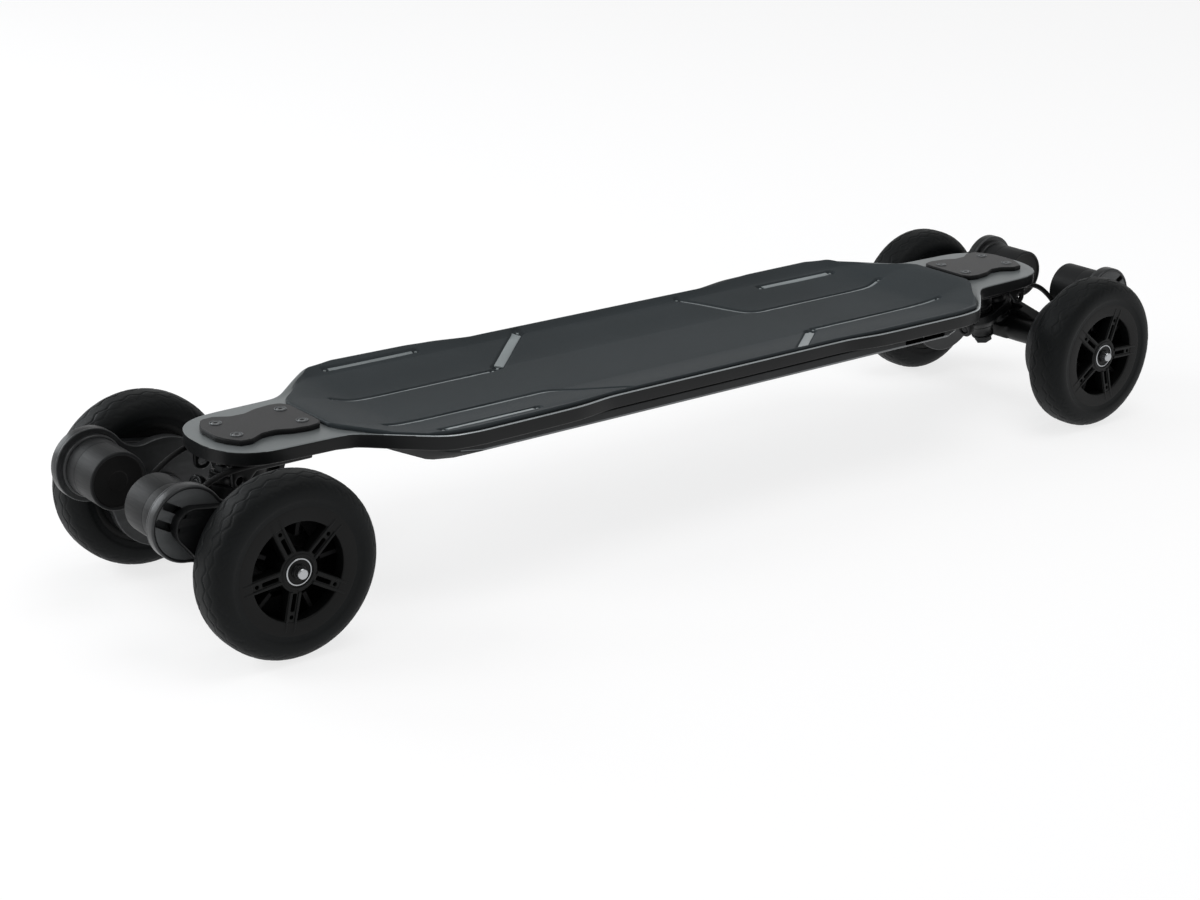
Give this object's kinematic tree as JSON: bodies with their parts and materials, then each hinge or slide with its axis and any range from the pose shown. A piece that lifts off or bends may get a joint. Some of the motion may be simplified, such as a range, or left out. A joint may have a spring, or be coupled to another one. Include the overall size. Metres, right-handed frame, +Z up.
{
  "type": "electric mountainboard",
  "caption": "Electric mountainboard with a concave composite deck, foam grip, double kingpin trucks, covered belt drives and airless treaded tyres.",
  "frame": {"origin": "on the ground under the middle of the board", "axes": "+X along the board towards its front truck, +Y to its left side, +Z up"},
  "size_m": [1.1922, 0.306, 0.16],
  "materials": {
    "satin_shell": "satin",
    "black_shell": "satin black",
    "foam": "fine-grained foam",
    "black_plate": "satin black",
    "black_aluminium": "black anodised",
    "can_aluminium": "dark anodised",
    "steel": "bright",
    "tyre_rubber": "matte",
    "rim_nylon": "matte",
    "belt_rubber": "matte",
    "urethane": "matte",
    "cable_sleeve": "matte",
    "cell_wrap": "shrink wrap"
  },
  "bodies": {
    "board": {"deck": "satin_shell", "grip_pad": "foam", "enclosure": "black_shell", "battery_pack": "cell_wrap", "controller": "black_aluminium", "front_cover_plate": "black_plate", "front_baseplate": "black_aluminium", "front_inner_kingpin": "steel", "front_inner_lower_bushing": "urethane", "front_inner_upper_bushing": "urethane", "motor_cable_front_left": "cable_sleeve", "motor_cable_front_right": "cable_sleeve", "rear_cover_plate": "black_plate", "rear_baseplate": "black_aluminium", "rear_inner_kingpin": "steel", "rear_inner_lower_bushing": "urethane", "rear_inner_upper_bushing": "urethane", "motor_cable_rear_left": "cable_sleeve", "motor_cable_rear_right": "cable_sleeve"},
    "front_knuckle": {"front_knuckle": "black_aluminium", "front_outer_lower_bushing": "urethane", "front_outer_upper_bushing": "urethane"},
    "front_hanger": {"front_hanger": "black_aluminium", "front_axle": "steel", "front_outer_kingpin": "steel", "drive_belt_front_left": "belt_rubber", "motor_front_left": "can_aluminium", "drive_housing_front_left": "black_aluminium", "drive_belt_front_right": "belt_rubber", "motor_front_right": "can_aluminium", "drive_housing_front_right": "black_aluminium"},
    "wheel_front_left": {"tyre_front_left": "tyre_rubber", "rim_front_left": "rim_nylon", "wheel_bearing_front_left": "steel"},
    "pinion_front_left": {"motor_pulley_front_left": "steel"},
    "wheel_front_right": {"tyre_front_right": "tyre_rubber", "rim_front_right": "rim_nylon", "wheel_bearing_front_right": "steel"},
    "pinion_front_right": {"motor_pulley_front_right": "steel"},
    "rear_knuckle": {"rear_knuckle": "black_aluminium", "rear_outer_lower_bushing": "urethane", "rear_outer_upper_bushing": "urethane"},
    "rear_hanger": {"rear_hanger": "black_aluminium", "rear_axle": "steel", "rear_outer_kingpin": "steel", "drive_belt_rear_left": "belt_rubber", "motor_rear_left": "can_aluminium", "drive_housing_rear_left": "black_aluminium", "drive_belt_rear_right": "belt_rubber", "motor_rear_right": "can_aluminium", "drive_housing_rear_right": "black_aluminium"},
    "wheel_rear_left": {"tyre_rear_left": "tyre_rubber", "rim_rear_left": "rim_nylon", "wheel_bearing_rear_left": "steel"},
    "pinion_rear_left": {"motor_pulley_rear_left": "steel"},
    "wheel_rear_right": {"tyre_rear_right": "tyre_rubber", "rim_rear_right": "rim_nylon", "wheel_bearing_rear_right": "steel"},
    "pinion_rear_right": {"motor_pulley_rear_right": "steel"},
    "button": {"power_button": "black_plate"}
  },
  "joints": [
    {"name": "front_knuckle_hinge", "type": "hinge", "parent": "board", "child": "front_knuckle", "pos_m": [0.46255, 0, 0.0917], "axis": [0.9613, 0, 0.2756], "range_deg": [-9, 9], "stiffness_Nm_per_rad": 80, "deforming": ["front_inner_lower_bushing", "front_inner_upper_bushing", "motor_cable_front_left", "motor_cable_front_right"]},
    {"name": "front_hanger_hinge", "type": "hinge", "parent": "front_knuckle", "child": "front_hanger", "pos_m": [0.4867, 0, 0.1078], "axis": [0.9613, 0, 0.2756], "range_deg": [-9, 9], "stiffness_Nm_per_rad": 80, "deforming": ["front_outer_lower_bushing", "front_outer_upper_bushing", "motor_cable_front_left", "motor_cable_front_right"]},
    {"name": "wheel_spin_front_left", "type": "hinge", "parent": "front_hanger", "child": "wheel_front_left", "pos_m": [0.4965, 0.125, 0.08], "axis": [0, 1, 0], "continuous": true},
    {"name": "pinion_spin_front_left", "type": "hinge", "parent": "front_hanger", "child": "pinion_front_left", "pos_m": [0.564, 0.09, 0.1194], "axis": [0, 1, 0], "continuous": true},
    {"name": "wheel_spin_front_right", "type": "hinge", "parent": "front_hanger", "child": "wheel_front_right", "pos_m": [0.4965, -0.125, 0.08], "axis": [0, 1, 0], "continuous": true},
    {"name": "pinion_spin_front_right", "type": "hinge", "parent": "front_hanger", "child": "pinion_front_right", "pos_m": [0.564, -0.09, 0.1194], "axis": [0, 1, 0], "continuous": true},
    {"name": "rear_knuckle_hinge", "type": "hinge", "parent": "board", "child": "rear_knuckle", "pos_m": [-0.46255, 0, 0.0917], "axis": [-0.9613, 0, 0.2756], "range_deg": [-9, 9], "stiffness_Nm_per_rad": 80, "deforming": ["rear_inner_lower_bushing", "rear_inner_upper_bushing", "motor_cable_rear_left", "motor_cable_rear_right"]},
    {"name": "rear_hanger_hinge", "type": "hinge", "parent": "rear_knuckle", "child": "rear_hanger", "pos_m": [-0.4867, 0, 0.1078], "axis": [-0.9613, 0, 0.2756], "range_deg": [-9, 9], "stiffness_Nm_per_rad": 80, "deforming": ["rear_outer_lower_bushing", "rear_outer_upper_bushing", "motor_cable_rear_left", "motor_cable_rear_right"]},
    {"name": "wheel_spin_rear_left", "type": "hinge", "parent": "rear_hanger", "child": "wheel_rear_left", "pos_m": [-0.4965, 0.125, 0.08], "axis": [0, 1, 0], "continuous": true},
    {"name": "pinion_spin_rear_left", "type": "hinge", "parent": "rear_hanger", "child": "pinion_rear_left", "pos_m": [-0.564, 0.09, 0.1194], "axis": [0, 1, 0], "continuous": true},
    {"name": "wheel_spin_rear_right", "type": "hinge", "parent": "rear_hanger", "child": "wheel_rear_right", "pos_m": [-0.4965, -0.125, 0.08], "axis": [0, 1, 0], "continuous": true},
    {"name": "pinion_spin_rear_right", "type": "hinge", "parent": "rear_hanger", "child": "pinion_rear_right", "pos_m": [-0.564, -0.09, 0.1194], "axis": [0, 1, 0], "continuous": true},
    {"name": "button_press", "type": "slide", "parent": "board", "child": "button", "axis": [0, 1, 0], "range_m": [0, 0.0015], "stiffness_N_per_m": 500}
  ],
  "couplings": [
    {"joint": "pinion_spin_front_left", "follows": "wheel_spin_front_left", "ratio": 3},
    {"joint": "pinion_spin_front_right", "follows": "wheel_spin_front_right", "ratio": 3},
    {"joint": "pinion_spin_rear_left", "follows": "wheel_spin_rear_left", "ratio": 3},
    {"joint": "pinion_spin_rear_right", "follows": "wheel_spin_rear_right", "ratio": 3}
  ]
}
